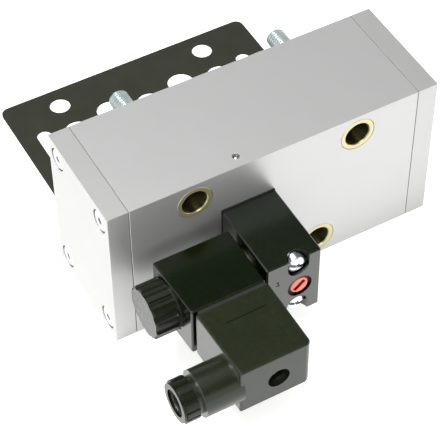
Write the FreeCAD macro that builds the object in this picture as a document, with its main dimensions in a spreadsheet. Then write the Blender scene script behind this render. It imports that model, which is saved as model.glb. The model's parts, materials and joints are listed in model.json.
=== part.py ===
"""Pilot-operated pneumatic solenoid valve, 5/2, for mounting on a sub-base.

Frame: millimetres, +Z up. The origin is the middle of the block's bottom face.
+X runs along the spool towards the spring end, and +Y from the pilot towards the mounting face.
Every size is a cell of the sheet "Sizes". A formula names those cells, so each piece follows them.
"""
import FreeCAD, Part
import os
import re
import Sketcher

doc = FreeCAD.newDocument("solenoid_valve")
sheet = doc.addObject("Spreadsheet::Sheet", "Sizes")

# Driving sizes, in millimetres unless the name says otherwise
SIZES = {
    # block, end plates and the spool bore
    "block_length": 122.4,
    "block_depth": 48.6,
    "block_height": 69.7,
    "edge_chamfer": 0.12,
    "end_gasket_thickness": 0.3,
    "end_gasket_inset": 0.1,
    "end_plate_thickness": 8.5,
    "spool_below_top": 26.6,
    "cage_bore_radius": 11.0,
    # air ports in the mounting face
    "port_pitch": 17.2,
    "port_radius": 5.9,
    "port_depth": 12.0,
    "port_throat_radius": 4.2,
    "outlet_port_rise": 4.0,
    # mounting bolts with their captive rings
    "upper_bolt_from_end": 26.4,
    "lower_bolt_spacing": 38.4,
    "bolt_edge_distance": 9.5,
    "bolt_radius": 4.0,
    "bolt_hole_clearance": 0.5,
    "bolt_projection": 13.7,
    "bolt_end_play": 1.3,
    "bolt_tip_chamfer": 0.8,
    "bolt_waist_radius": 3.3,
    "bolt_waist_past_back": 0.3,
    "bolt_head_radius": 6.5,
    "bolt_head_length": 8.0,
    "bolt_hex_radius": 3.46,
    "bolt_hex_depth": 4.0,
    "head_bore_radius": 7.0,
    "ring_outer_radius": 7.4,
    "ring_bore_radius": 5.2,
    "ring_thickness": 8.0,
    "ring_lead_in": 0.7,
    # screws of the end plates
    "plate_screw_inset": 7.0,
    "plate_screw_radius": 2.5,
    "plate_screw_length": 16.0,
    "plate_head_radius": 4.3,
    "plate_head_length": 5.0,
    "plate_hex_radius": 2.3,
    "plate_hex_depth": 2.6,
    "plate_counterbore_radius": 4.75,
    "plate_counterbore_depth": 5.2,
    "screw_hole_clearance": 0.25,
    "tapped_hole_extra": 1.0,
    "thread_clearance": 0.05,
    # spool, seals and spacers
    "spool_radius": 8.0,
    "spool_neck_radius": 5.0,
    "spool_stroke": 6.0,
    "running_clearance": 0.05,
    "seal_width": 3.0,
    "land_overlap": 0.5,
    "spacer_relief": 1.2,
    "spacer_window_radius": 4.2,
    "cage_clearance": 0.05,
    "seat_gap": 0.3,
    "spool_spigot_radius": 4.2,
    "spool_spigot_length": 3.0,
    "spool_end_overrun": 5.5,
    "liner_lip_length": 2.0,
    "piston_radius": 9.5,
    "piston_length": 5.5,
    "piston_boss_radius": 5.0,
    "piston_boss_length": 1.2,
    "piston_groove_depth": 1.6,
    "piston_groove_width": 2.4,
    # return spring
    "return_spring_radius": 5.3,
    "return_spring_wire": 0.5,
    "return_spring_turns": 5,
    "spring_pocket_radius": 7.0,
    "spring_pocket_depth": 4.5,
    # pilot passages in the block
    "passage_radius": 1.25,
    "supply_passage_x": -5.0,
    "output_passage_x": -18.0,
    "exhaust_passage_x": -15.0,
    "exhaust_above_tube": 10.0,
    "output_channel_y": -17.0,
    "pilot_exhaust_height": 22.0,
    "pilot_port_x": 48.3,
    "vent_from_front": 5.0,
    "vent_ball_radius": 1.5,
    "vent_ball_depth": 0.4,
    # pilot block
    "pilot_left_x": -24.0,
    "pilot_width": 22.7,
    "pilot_reach": 33.1,
    "pilot_below_tube": 17.7,
    "pilot_height": 31.5,
    "pilot_edge_round": 0.5,
    "pilot_gasket_thickness": 0.8,
    "pilot_screw_x": -10.8,
    "pilot_screw_spacing": 21.8,
    "pilot_screw_radius": 2.0,
    "pilot_screw_grip": 8.0,
    "pilot_screw_head_radius": 3.8,
    "pilot_screw_head_length": 2.6,
    "pilot_screw_slot_width": 1.0,
    "pilot_screw_slot_depth": 1.1,
    "pilot_screw_slot_turn": 11.0,
    "pilot_screw_recess_radius": 4.4,
    "pilot_screw_recess_depth": 5.0,
    "pilot_notch_radius": 4.5,
    # manual override
    "override_x": -10.0,
    "override_below_tube": 2.4,
    "override_recess_radius": 5.1,
    "override_recess_depth": 1.6,
    "override_knob_radius": 4.1,
    "override_knob_length": 5.0,
    "override_knob_sink": 0.3,
    "override_slot_length": 5.7,
    "override_slot_width": 1.2,
    "override_slot_depth": 1.3,
    "override_slot_turn": -40.0,
    "override_groove_depth": 0.8,
    "override_groove_width": 1.3,
    "override_stem_radius": 2.0,
    "override_neck_radius": 1.2,
    "override_land_length": 1.6,
    "override_stem_overlap": 2.5,
    "override_duct_radius": 0.7,
    "override_duct_y": -46.0,
    "duct_below_tube": 2.0,
    "override_cavity_radius": 2.6,
    "override_cavity_start": -45.1,
    "override_flange_radius": 3.4,
    "override_flange_length": 1.0,
    "override_travel": 2.0,
    "override_spring_radius": 2.8,
    "override_spring_wire": 0.3,
    "override_spring_length": 3.6,
    "override_spring_turns": 2.5,
    # armature tube, core and plunger
    "tube_y": -43.1,
    "tube_below_spool": 7.1,
    "tube_outer_radius": 4.5,
    "tube_bore_radius": 4.0,
    "tube_thread_radius": 6.0,
    "tube_thread_length": 5.0,
    "tube_flange_radius": 8.5,
    "tube_stud_radius": 3.9,
    "tube_stud_length": 6.6,
    "tube_end_wall": 2.0,
    "tube_seal_radius": 0.75,
    "valve_chamber_length": 6.0,
    "valve_chamber_radius": 4.3,
    "orifice_radius": 0.7,
    "plunger_length": 16.0,
    "plunger_travel": 1.0,
    "plunger_air_gap": 0.3,
    "plunger_seat_radius": 2.5,
    "plunger_seat_length": 1.5,
    "plunger_pocket_radius": 2.3,
    "plunger_pocket_length": 6.0,
    "plunger_spring_radius": 1.7,
    "plunger_spring_wire": 0.25,
    "plunger_spring_turns": 5,
    # coil
    "coil_length": 30.2,
    "coil_depth": 27.4,
    "coil_width": 23.5,
    "coil_back_y": -32.3,
    "coil_pilot_gap": 1.6,
    "coil_taper": 1.4,
    "coil_edge_round": 0.8,
    "coil_bore_clearance": 0.1,
    "coil_wall": 1.6,
    "bobbin_wall": 0.8,
    "bobbin_radius": 10.0,
    "winding_radius": 9.4,
    "blade_width": 6.3,
    "blade_thickness": 0.8,
    "blade_length": 9.0,
    "blade_root": 2.0,
    "blade_spacing": 11.0,
    "ground_blade_offset": 6.5,
    # coil nut
    "nut_washer_thickness": 0.8,
    "nut_washer_radius": 10.0,
    "nut_radius": 10.4,
    "nut_length": 10.0,
    "nut_collar_radius": 10.0,
    "nut_collar_length": 0.6,
    "nut_flute_count": 12,
    "nut_flute_radius": 2.2,
    "nut_flute_centre_out": 1.2,
    "nut_edge_round": 0.6,
    # connector
    "connector_gasket_thickness": 1.8,
    "connector_gasket_inset": 0.6,
    "connector_left_x": -54.0,
    "connector_width": 28.7,
    "connector_reach": 30.1,
    "connector_taper": 0.9,
    "connector_below_tube": 10.7,
    "connector_height": 22.5,
    "connector_wall": 1.9,
    "connector_edge_round": 0.8,
    "connector_corner_round": 2.4,
    "connector_screw_x": -38.5,
    "connector_screw_radius": 1.5,
    "connector_screw_head_radius": 2.8,
    "connector_screw_head_length": 2.0,
    "connector_screw_grip": 3.5,
    "connector_recess_radius": 4.4,
    "connector_recess_depth": 6.0,
    "label_recess_depth": 0.4,
    "label_recess_width": 16.8,
    "label_recess_reach": 16.0,
    "label_recess_from_left": 6.5,
    "label_recess_from_back": 7.8,
    "connector_cavity_length": 21.1,
    "insert_length": 13.0,
    "clamp_width": 3.2,
    "clamp_height": 8.0,
    "clamp_length": 9.0,
    "clamp_screw_radius": 1.25,
    "clamp_screw_length": 4.0,
    "clamp_screw_head_radius": 2.0,
    "clamp_screw_head_length": 1.2,
    "insert_clearance": 0.2,
    # cable gland
    "gland_y": -83.6,
    "gland_above_tube": 0.3,
    "gland_barrel_radius": 9.1,
    "gland_barrel_length": 13.5,
    "gland_neck_radius": 7.2,
    "gland_neck_length": 6.9,
    "gland_bore_radius": 4.6,
    "gland_pocket_radius": 6.0,
    "gland_seal_length": 6.0,
    "gland_seal_bore_radius": 4.0,
    "gland_washer_thickness": 0.6,
    "gland_nut_radius": 8.2,
    "gland_nut_lip": 1.0,
    "gland_nut_gap": 2.1,
    "gland_nut_length": 6.1,
    "gland_opening_radius": 5.3,
    "gland_nut_ribs": 15,
    "gland_rib_radius": 0.5,
    "gland_rim_length": 1.0,
    "gland_rim_step": 0.6,
    # mounting gasket, lying behind the valve
    "flat_gasket_width": 118.0,
    "flat_gasket_thickness": 1.0,
    "flat_gasket_corner": 3.5,
    "flat_gasket_distance": 15.5,
    "flat_gasket_shift": 0.5,
    "pilot_slot_width": 6.6,
    "pilot_slot_top": 50.3,
    "pilot_slot_bottom": 19.4,
}
# Sizes that follow from others
DERIVED = {
    "spool_height": "block_height - spool_below_top",
    "upper_bolt_spacing": "block_length - 2 * upper_bolt_from_end",
    "bolt_length": "block_depth + bolt_projection - ring_thickness - bolt_end_play - bolt_head_length",
    "tube_height": "block_height - spool_below_top - tube_below_spool",
    "pilot_bottom": "tube_height - pilot_below_tube",
    "override_height": "tube_height - override_below_tube",
    "override_cavity_end": "override_cavity_start + override_travel + 0.5",
    "override_duct_height": "tube_height - duct_below_tube",
    "exhaust_passage_height": "tube_height + exhaust_above_tube",
    "connector_bottom": "tube_height - connector_below_tube",
    "gland_height": "tube_height + gland_above_tube",
}
cells = list(SIZES.items()) + [(alias, "=" + rule) for alias, rule in DERIVED.items()]
for row, (alias, content) in enumerate(cells, start=1):
    sheet.set("A%d" % row, alias.replace("_", " "))
    sheet.set("B%d" % row, str(content))
    sheet.setAlias("B%d" % row, alias)
doc.recompute()

# Places that several pieces share
FRONT = "(-block_depth / 2)"
BACK = "(block_depth / 2)"
BLOCK_END = "(block_length / 2)"
PLATE_INNER = "(block_length / 2 + end_gasket_thickness)"
VALVE_END = "(block_length / 2 + end_gasket_thickness + end_plate_thickness)"
UPPER_BOLT_Z = "(block_height - bolt_edge_distance)"
BOLT_SEAT_Y = "(-block_depth / 2 + ring_thickness + bolt_end_play + bolt_head_length)"
PLATE_SCREW_Y = "(block_depth / 2 - plate_screw_inset)"
PILOT_BACK = "(-block_depth / 2 - pilot_gasket_thickness)"
PILOT_FRONT = "(-block_depth / 2 - pilot_gasket_thickness - pilot_reach)"
PILOT_MIDDLE = "(pilot_bottom + pilot_height / 2)"
COIL_RIGHT = "(pilot_left_x - coil_pilot_gap)"
COIL_LEFT = "(pilot_left_x - coil_pilot_gap - coil_length)"
COIL_FRONT = "(coil_back_y - coil_depth)"
CONNECTOR_BACK = "(coil_back_y - coil_depth - connector_gasket_thickness)"
CONNECTOR_FRONT = "(coil_back_y - coil_depth - connector_gasket_thickness - connector_reach)"
GLAND_SHOULDER = "(connector_left_x - gland_barrel_length)"
END_SEAL = "(2.5 * port_pitch + seal_width / 2)"
SEAT_X = "(pilot_left_x + tube_thread_length + valve_chamber_length)"
OVERRIDE_STEP = ("(-block_depth / 2 - pilot_gasket_thickness - pilot_reach + override_knob_sink"
                 " + override_knob_length + seat_gap + override_flange_length + override_spring_length)")
CONNECTOR_MIDDLE = "(connector_bottom + connector_height / 2 - 0.85)"
GLAND_NUT_BACK = "(connector_left_x - gland_barrel_length - gland_nut_gap)"
GLAND_POCKET = ("(gland_neck_length - gland_nut_gap - gland_nut_length + gland_nut_lip"
                " + gland_washer_thickness + gland_seal_length)")
BLADES = [("-", "0"), ("+", "0"), ("", "(-ground_blade_offset)")]
BLADE_X = {"-": "(connector_screw_x - blade_spacing / 2)", "+": "(connector_screw_x + blade_spacing / 2)",
           "": "connector_screw_x"}
BOLT_PLACES = [("-upper_bolt_spacing / 2", UPPER_BOLT_Z), ("upper_bolt_spacing / 2", UPPER_BOLT_Z),
               ("-lower_bolt_spacing / 2", "bolt_edge_distance"),
               ("lower_bolt_spacing / 2", "bolt_edge_distance")]
PLATE_SCREW_PLACES = [(side + PLATE_SCREW_Y, height) for side in ("-", "")
                      for height in ("plate_screw_inset", "block_height - plate_screw_inset")]

DIRECTIONS = {"+Z": ((1, 0, 0), 0), "-Z": ((1, 0, 0), 180), "+Y": ((1, 0, 0), -90),
              "-Y": ((1, 0, 0), 90), "+X": ((0, 1, 0), 90), "-X": ((0, 1, 0), -90)}
pieces = []


def formula(text):
    """The formula as an expression: every size in it read from the sheet."""
    def cell(match):
        word = match.group(0)
        return "Sizes." + word if word in SIZES or word in DERIVED else word
    return re.sub(r"[a-z][a-z_]*", cell, str(text))


def number(text):
    """The value of a formula, for what takes no expression."""
    return float(sheet.evalExpression(formula(text)))


def bind(thing, **sizes):
    for prop, text in sizes.items():
        thing.setExpression(prop, formula(text))
    return thing


def place(thing, at=("0", "0", "0"), along="+Z", turn=0):
    """Puts the thing's own origin at a point, with its +Z axis along a direction, turned about that axis."""
    axis, angle = DIRECTIONS[along]
    rotation = FreeCAD.Rotation(FreeCAD.Vector(*axis), angle)
    rotation = rotation * FreeCAD.Rotation(FreeCAD.Vector(0, 0, 1), turn)
    thing.Placement = FreeCAD.Placement(FreeCAD.Vector(), rotation)
    for letter, text in zip("xyz", at):
        thing.setExpression("Placement.Base." + letter, formula(text))
    return thing


def cylinder(radius, height, at=("0", "0", "0"), along="+Z"):
    return place(bind(doc.addObject("Part::Cylinder", "cylinder"), Radius=radius, Height=height), at, along)


def box(length, width, height, at=("0", "0", "0")):
    """A box from its lowest corner."""
    thing = bind(doc.addObject("Part::Box", "box"), Length=length, Width=width, Height=height)
    return place(thing, at)


def tapered(length, width, height, taper, at):
    """A box from its lowest corner whose left side runs outwards by a taper from front to back."""
    thing = doc.addObject("Part::Wedge", "tapered")
    bind(thing, Xmin="0", Ymin="0", Zmin="0", X2min="-1 * " + taper, Z2min="0",
         Xmax=length, Ymax=width, Zmax=height, X2max=length, Z2max=height)
    return place(thing, at)


def hexagon(radius, height, at=("0", "0", "0"), along="+Z"):
    thing = doc.addObject("Part::Prism", "hexagon")
    thing.Polygon = 6
    return place(bind(thing, Circumradius=radius, Height=height), at, along)


def fuse(*things):
    thing = doc.addObject("Part::MultiFuse", "fuse")
    thing.Shapes = list(things)
    return thing


def group(*things):
    thing = doc.addObject("Part::Compound", "group")
    thing.Links = list(things)
    return thing


def cut(base, *tools):
    thing = doc.addObject("Part::Cut", "cut")
    thing.Base = base
    thing.Tool = tools[0] if len(tools) == 1 else fuse(*tools)
    return thing


def tapered_edges(*sides):
    """The numbers of a tapered box's edges that lie on all of the named sides."""
    plain = Part.makeWedge(0, 0, 0, 0, 0, 1, 1, 1, 1, 1)
    tests = {"left": ("x", 0), "right": ("x", 1), "front": ("y", 0), "back": ("y", 1),
             "bottom": ("z", 0), "top": ("z", 1)}
    found = []
    for index, edge in enumerate(plain.Edges, start=1):
        middle = edge.CenterOfMass
        if all(abs(getattr(middle, tests[side][0]) - tests[side][1]) < 0.01 for side in sides):
            found.append(index)
    return found


def soften(base, size, edges=range(1, 13), kind="Part::Chamfer", other_size=None, other_edges=()):
    """Breaks the edges of a plain box, some of them by another size."""
    thing = doc.addObject(kind, "softened")
    thing.Base = base
    broken = [(edge, number(size), number(size)) for edge in edges]
    broken += [(edge, number(other_size), number(other_size)) for edge in other_edges]
    thing.Edges = broken
    return thing


def piece(label, thing):
    """Keeps a finished sub-part under the name of its file."""
    thing.Label = label
    pieces.append(thing)
    return thing


def blade_corner(across, height, lowest_y):
    """The lowest corner of a blade's section, from the side it stands on and its height."""
    wide = "blade_thickness" if across else "blade_width"
    high = "blade_width" if across else "blade_thickness"
    return (BLADE_X[across] + " - %s / 2" % wide, lowest_y,
            "(%s + %s) - %s / 2" % (CONNECTOR_MIDDLE, height, high))


def outline(body, plane, points):
    """A closed sketch through points, each a pair of formulas measured from the sketch's origin."""
    sketch = body.newObject("Sketcher::SketchObject", "outline")
    datum = [item for item in body.Origin.OriginFeatures if item.Role == plane][0]
    sketch.AttachmentSupport = [(datum, "")]
    sketch.MapMode = "FlatFace"
    corners = [FreeCAD.Vector(number(across), number(up), 0) for across, up in points]
    count = len(corners)
    for index, corner in enumerate(corners):
        sketch.addGeometry(Part.LineSegment(corner, corners[(index + 1) % count]), False)
    for index in range(count):
        sketch.addConstraint(Sketcher.Constraint("Coincident", index, 2, (index + 1) % count, 1))
    for index, (point, corner) in enumerate(zip(points, corners)):
        for text, kind, value, own_axis in ((point[0], "DistanceX", corner.x, -2),
                                            (point[1], "DistanceY", corner.y, -1)):
            if text == "0":
                sketch.addConstraint(Sketcher.Constraint("PointOnObject", index, 1, own_axis))
            else:
                held = sketch.addConstraint(Sketcher.Constraint(kind, -1, 1, index, 1, value))
                sketch.setExpression("Constraints[%d]" % held, formula(text))
    return sketch


def turned(points, at=("0", "0", "0"), along="+Z"):
    """A turned piece: its half section as (radius, distance along the axis) pairs."""
    body = doc.addObject("PartDesign::Body", "turned")
    sketch = outline(body, "XZ_Plane", points)
    revolution = body.newObject("PartDesign::Revolution", "revolution")
    revolution.Profile = sketch
    revolution.ReferenceAxis = (sketch, ["V_Axis"])
    revolution.Angle = 360.0
    sketch.Visibility = False
    return place(body, at, along)


def ring(outer, inner, length, at, along):
    return turned([(inner, "0"), (outer, "0"), (outer, length), (inner, length)], at, along)


def o_ring(radius, section, at, along):
    thing = doc.addObject("Part::Torus", "o_ring")
    return place(bind(thing, Radius1=radius, Radius2=section), at, along)


def coil_spring(radius, wire, length, turns, at, along):
    """A round-wire spring between two planes a length apart, with its wire inside them."""
    helix = doc.addObject("Part::Helix", "helix")
    bind(helix, Radius=radius, Height="%s - 2 * %s" % (length, wire),
         Pitch="(%s - 2 * %s) / %s" % (length, wire, turns))
    section = doc.addObject("Part::Circle", "wire")
    bind(section, Radius=wire)
    place(section, (radius, "0", "0"), "-Y")
    sweep = doc.addObject("Part::Sweep", "spring")
    sweep.Sections = [section]
    sweep.Spine = (helix, [])
    sweep.Solid = True
    sweep.Frenet = True
    holder = doc.addObject("Part::Compound", "held_spring")
    holder.Links = [place(sweep, ("0", "0", wire))]
    return place(holder, at, along)


def socket_screw(head_radius, head_length, radius, length, hex_radius, hex_depth, tip, at, along, waist=()):
    """A socket head screw along its own +Z, with the underside of its head at the origin.

    A waist is a pair: the thin shank's radius and its length from the head to the thread.
    """
    section = [("0", "-1 * (%s)" % head_length), (head_radius, "-1 * (%s)" % head_length), (head_radius, "0")]
    if waist:
        section += [(waist[0], "0"), waist]
        section += [(radius, waist[1])]
    else:
        section += [(radius, "0")]
    section += [(radius, "%s - %s" % (length, tip)), ("%s - %s" % (radius, tip), length), ("0", length)]
    blank = turned(section)
    socket = hexagon(hex_radius, hex_depth, ("0", "0", "-1 * (%s)" % head_length))
    return place(cut(blank, socket), at, along)


def make_block():
    """The block: spool bore, five ports at the back, stepped bolt holes and the pilot's passages."""
    raw = box("block_length", "block_depth", "block_height", ("-1 * " + BLOCK_END, FRONT, "0"))
    raw = soften(raw, "edge_chamfer")
    tools = [cylinder("cage_bore_radius", "block_length", ("-1 * " + BLOCK_END, "0", "spool_height"), "+X")]
    for step in (-2, -1, 0, 1, 2):
        rise = "spool_height + outlet_port_rise" if step in (-1, 1) else "spool_height"
        across = "%d * port_pitch" % step
        tools.append(cylinder("port_radius", "port_depth", (across, BACK, rise), "-Y"))
        tools.append(cylinder("port_throat_radius", BACK, (across, "0", rise), "+Y"))
    for across, height in BOLT_PLACES:
        tools.append(cylinder("bolt_radius + bolt_hole_clearance", "block_depth",
                              (across, FRONT, height), "+Y"))
        tools.append(cylinder("head_bore_radius", BOLT_SEAT_Y + " - " + FRONT, (across, FRONT, height), "+Y"))
        tools.append(cylinder("ring_outer_radius", "ring_thickness", (across, FRONT, height), "+Y"))
    tapped = "plate_screw_length - end_plate_thickness + plate_counterbore_depth + tapped_hole_extra"
    for across, height in PLATE_SCREW_PLACES:
        for side, along in (("-1 * ", "+X"), ("", "-X")):
            tools.append(cylinder("plate_screw_radius + thread_clearance", tapped,
                                  (side + BLOCK_END, across, height), along))
    for sign in ("-", "+"):
        height = PILOT_MIDDLE + sign + "pilot_screw_spacing / 2"
        tools.append(cylinder("pilot_screw_radius + thread_clearance", "pilot_screw_grip + tapped_hole_extra",
                              ("pilot_screw_x", FRONT, height), "+Y"))
    reach = "-1 * " + FRONT
    tools.append(cylinder("passage_radius", reach, ("supply_passage_x", FRONT, "tube_height"), "+Y"))
    tools.append(cylinder("passage_radius", "output_channel_y + passage_radius - " + FRONT,
                          ("output_passage_x", FRONT, "tube_height"), "+Y"))
    tools.append(cylinder("passage_radius", BLOCK_END + " + output_passage_x + passage_radius",
                          ("-1 * " + BLOCK_END, "output_channel_y", "tube_height"), "+X"))
    tools.append(cylinder("passage_radius", "vent_from_front + passage_radius",
                          ("exhaust_passage_x", FRONT, "exhaust_passage_height"), "+Y"))
    vent_y = "(" + FRONT + " + vent_from_front)"
    tools.append(cylinder("passage_radius", "block_height - pilot_exhaust_height",
                          ("exhaust_passage_x", vent_y, "pilot_exhaust_height"), "+Z"))
    tools.append(cylinder("passage_radius", BLOCK_END + " + exhaust_passage_x + passage_radius",
                          ("-1 * " + BLOCK_END, vent_y, "pilot_exhaust_height"), "+X"))
    tools.append(cylinder("passage_radius", BACK + " - %s + passage_radius" % vent_y,
                          ("-1 * pilot_port_x", BACK, "pilot_exhaust_height"), "-Y"))
    for sign in ("-1 * ", ""):
        tools.append(cylinder("passage_radius", BACK, (sign + "pilot_port_x", BACK, "spool_height"), "-Y"))
    tools.append(cylinder("vent_ball_radius", "vent_ball_depth + 2 * vent_ball_radius",
                          ("exhaust_passage_x", vent_y, "block_height"), "-Z"))
    piece("valve_block", cut(raw, *tools))
    ball = bind(doc.addObject("Part::Sphere", "ball"), Radius="vent_ball_radius - thread_clearance")
    place(ball, ("exhaust_passage_x", vent_y, "block_height - vent_ball_depth - vent_ball_radius"))
    piece("passage_ball_plug", ball)


def make_bolts():
    """Four captive mounting bolts, each kept in its stepped hole by a brass ring."""
    bolts = []
    rings = []
    for across, height in BOLT_PLACES:
        bolts.append(socket_screw("bolt_head_radius", "bolt_head_length", "bolt_radius", "bolt_length",
                                  "bolt_hex_radius", "bolt_hex_depth", "bolt_tip_chamfer",
                                  (across, BOLT_SEAT_Y, height), "+Y",
                                  ("bolt_waist_radius", BACK + " + bolt_waist_past_back - " + BOLT_SEAT_Y)))
        rings.append(turned([("ring_bore_radius + ring_lead_in", "0"), ("ring_outer_radius", "0"),
                             ("ring_outer_radius", "ring_thickness"), ("ring_bore_radius", "ring_thickness"),
                             ("ring_bore_radius", "ring_lead_in")], (across, FRONT, height), "+Y"))
    piece("mounting_bolts", group(*bolts))
    piece("bolt_retaining_rings", group(*rings))


def make_end(side, name):
    """One end of the valve: gasket, plate and four screws. Side is -1 at the piston, 1 at the spring."""
    sign = "%d * " % side
    outwards = "+X" if side > 0 else "-X"
    inwards = "-X" if side > 0 else "+X"
    inner = BLOCK_END if side > 0 else "-1 * " + PLATE_INNER
    sheet_raw = box("end_gasket_thickness", "block_depth - 2 * end_gasket_inset",
                    "block_height - 2 * end_gasket_inset",
                    (inner, FRONT + " + end_gasket_inset", "end_gasket_inset"))
    holes = [cylinder("cage_bore_radius", "end_gasket_thickness",
                      (sign + BLOCK_END, "0", "spool_height"), outwards)]
    plate_raw = box("end_plate_thickness", "block_depth", "block_height",
                    (PLATE_INNER if side > 0 else "-1 * " + VALVE_END, FRONT, "0"))
    plate_raw = soften(plate_raw, "edge_chamfer")
    cuts = []
    screws = []
    for across, height in PLATE_SCREW_PLACES:
        hole = "plate_screw_radius + screw_hole_clearance"
        holes.append(cylinder(hole, "end_gasket_thickness", (sign + BLOCK_END, across, height), outwards))
        cuts.append(cylinder(hole, "end_plate_thickness", (sign + PLATE_INNER, across, height), outwards))
        cuts.append(cylinder("plate_counterbore_radius", "plate_counterbore_depth",
                             (sign + VALVE_END, across, height), inwards))
        seat = sign + "(" + VALVE_END + " - plate_counterbore_depth)"
        screws.append(socket_screw("plate_head_radius", "plate_head_length", "plate_screw_radius",
                                   "plate_screw_length", "plate_hex_radius", "plate_hex_depth",
                                   "plate_screw_radius / 5", (seat, across, height), inwards))
    if side > 0:
        cuts.append(cylinder("spring_pocket_radius", "spring_pocket_depth",
                             (PLATE_INNER, "0", "spool_height"), "+X"))
    else:
        holes.append(cylinder("passage_radius", "end_gasket_thickness",
                              ("-1 * " + BLOCK_END, "output_channel_y", "tube_height"), "-X"))
        cuts.append(box("2 * passage_radius", "-1 * output_channel_y", "2 * passage_radius",
                        ("-1 * " + PLATE_INNER + " - 2 * passage_radius",
                         "output_channel_y - passage_radius", "tube_height - passage_radius")))
    piece(name + "_end_gasket", cut(sheet_raw, *holes))
    piece(name + "_end_plate", cut(plate_raw, *cuts))
    piece(name + "_plate_screws", group(*screws))


def make_spool():
    """The spool, its six fixed seals, the windowed spacers between them and the two end liners."""
    start = "(-1 * %s + seat_gap + piston_boss_length + piston_length)" % PLATE_INNER
    right = "(%s + spool_end_overrun)" % END_SEAL
    half_land = "(seal_width / 2 + land_overlap)"
    centres = ["-1.5 * port_pitch - spool_stroke", "-0.5 * port_pitch",
               "0.5 * port_pitch - spool_stroke", "1.5 * port_pitch"]
    section = [("0", "0"), ("spool_radius", "0"),
               ("spool_radius", "-1 * %s + seal_width + land_overlap - %s" % (END_SEAL, start)),
               ("spool_neck_radius", "-1 * %s + seal_width + land_overlap - %s" % (END_SEAL, start))]
    for centre in centres:
        low = "%s - %s - %s" % (centre, half_land, start)
        high = "%s + %s - %s" % (centre, half_land, start)
        section += [("spool_neck_radius", low), ("spool_radius", low),
                    ("spool_radius", high), ("spool_neck_radius", high)]
    land_start = "%s - seal_width - land_overlap - spool_stroke - %s" % (END_SEAL, start)
    section += [("spool_neck_radius", land_start), ("spool_radius", land_start),
                ("spool_radius", "%s - %s" % (right, start)),
                ("spool_spigot_radius", "%s - %s" % (right, start)),
                ("spool_spigot_radius", "%s + spool_spigot_length - %s" % (right, start)),
                ("0", "%s + spool_spigot_length - %s" % (right, start))]
    piece("spool", turned(section, (start, "0", "spool_height"), "+X"))

    outer = "cage_bore_radius - cage_clearance"
    seals = [ring(outer, "spool_radius + running_clearance", "seal_width",
                  ("%.1f * port_pitch - seal_width / 2" % (step - 2.5), "0", "spool_height"), "+X")
             for step in range(6)]
    piece("spool_seals", group(*seals))
    spacers = []
    for step in (-2, -1, 0, 1, 2):
        middle = "%d * port_pitch" % step
        blank = ring(outer, "spool_radius + spacer_relief", "port_pitch - seal_width",
                     ("(%s) - (port_pitch - seal_width) / 2" % middle, "0", "spool_height"), "+X")
        windows = [cylinder("spacer_window_radius", "2 * cage_bore_radius",
                            (middle, "-1 * cage_bore_radius", "spool_height"), "+Y"),
                   cylinder("spacer_window_radius", "2 * cage_bore_radius",
                            (middle, "0", "spool_height - cage_bore_radius"), "+Z")]
        spacers.append(cut(blank, *windows))
    piece("seal_spacers", group(*spacers))

    liner = "(%s - %s)" % (BLOCK_END, END_SEAL)
    lip = "spool_radius + spacer_relief / 4"
    raw = turned([("piston_radius + running_clearance", "0"), (outer, "0"), (outer, liner), (lip, liner),
                  (lip, liner + " - liner_lip_length"),
                  ("piston_radius + running_clearance", liner + " - liner_lip_length")],
                 ("-1 * " + BLOCK_END, "0", "spool_height"), "+X")
    piece("piston_liner", cut(raw, cylinder("passage_radius", "2 * cage_bore_radius",
                                            ("-1 * pilot_port_x", "0", "spool_height"), "+Y")))
    raw = ring(outer, lip, liner, (END_SEAL, "0", "spool_height"), "+X")
    piece("spring_liner", cut(raw, cylinder("passage_radius", "2 * cage_bore_radius",
                                            ("pilot_port_x", "0", "spool_height"), "+Y")))

    disc = "piston_boss_length + piston_length"
    middle = "(piston_boss_length + piston_length / 2)"
    floor = "piston_radius - piston_groove_depth"
    piece("pilot_piston", turned([("0", "0"), ("piston_boss_radius", "0"),
                                  ("piston_boss_radius", "piston_boss_length"),
                                  ("piston_radius", "piston_boss_length"),
                                  ("piston_radius", middle + " - piston_groove_width / 2"),
                                  (floor, middle + " - piston_groove_width / 2"),
                                  (floor, middle + " + piston_groove_width / 2"),
                                  ("piston_radius", middle + " + piston_groove_width / 2"),
                                  ("piston_radius", disc), ("0", disc)],
                                 ("-1 * %s + seat_gap" % PLATE_INNER, "0", "spool_height"), "+X"))
    piece("piston_seal", ring("piston_radius", floor + " + thread_clearance",
                              "piston_groove_width - 2 * thread_clearance",
                              ("-1 * %s + seat_gap + %s - piston_groove_width / 2 + thread_clearance"
                               % (PLATE_INNER, middle), "0", "spool_height"), "+X"))
    spring_start = "(%s)" % right
    spring_end = "(%s + spring_pocket_depth)" % PLATE_INNER
    piece("return_spring", coil_spring("return_spring_radius", "return_spring_wire",
                                       "%s - %s" % (spring_end, spring_start), "return_spring_turns",
                                       (spring_start, "0", "spool_height"), "+X"))


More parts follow.
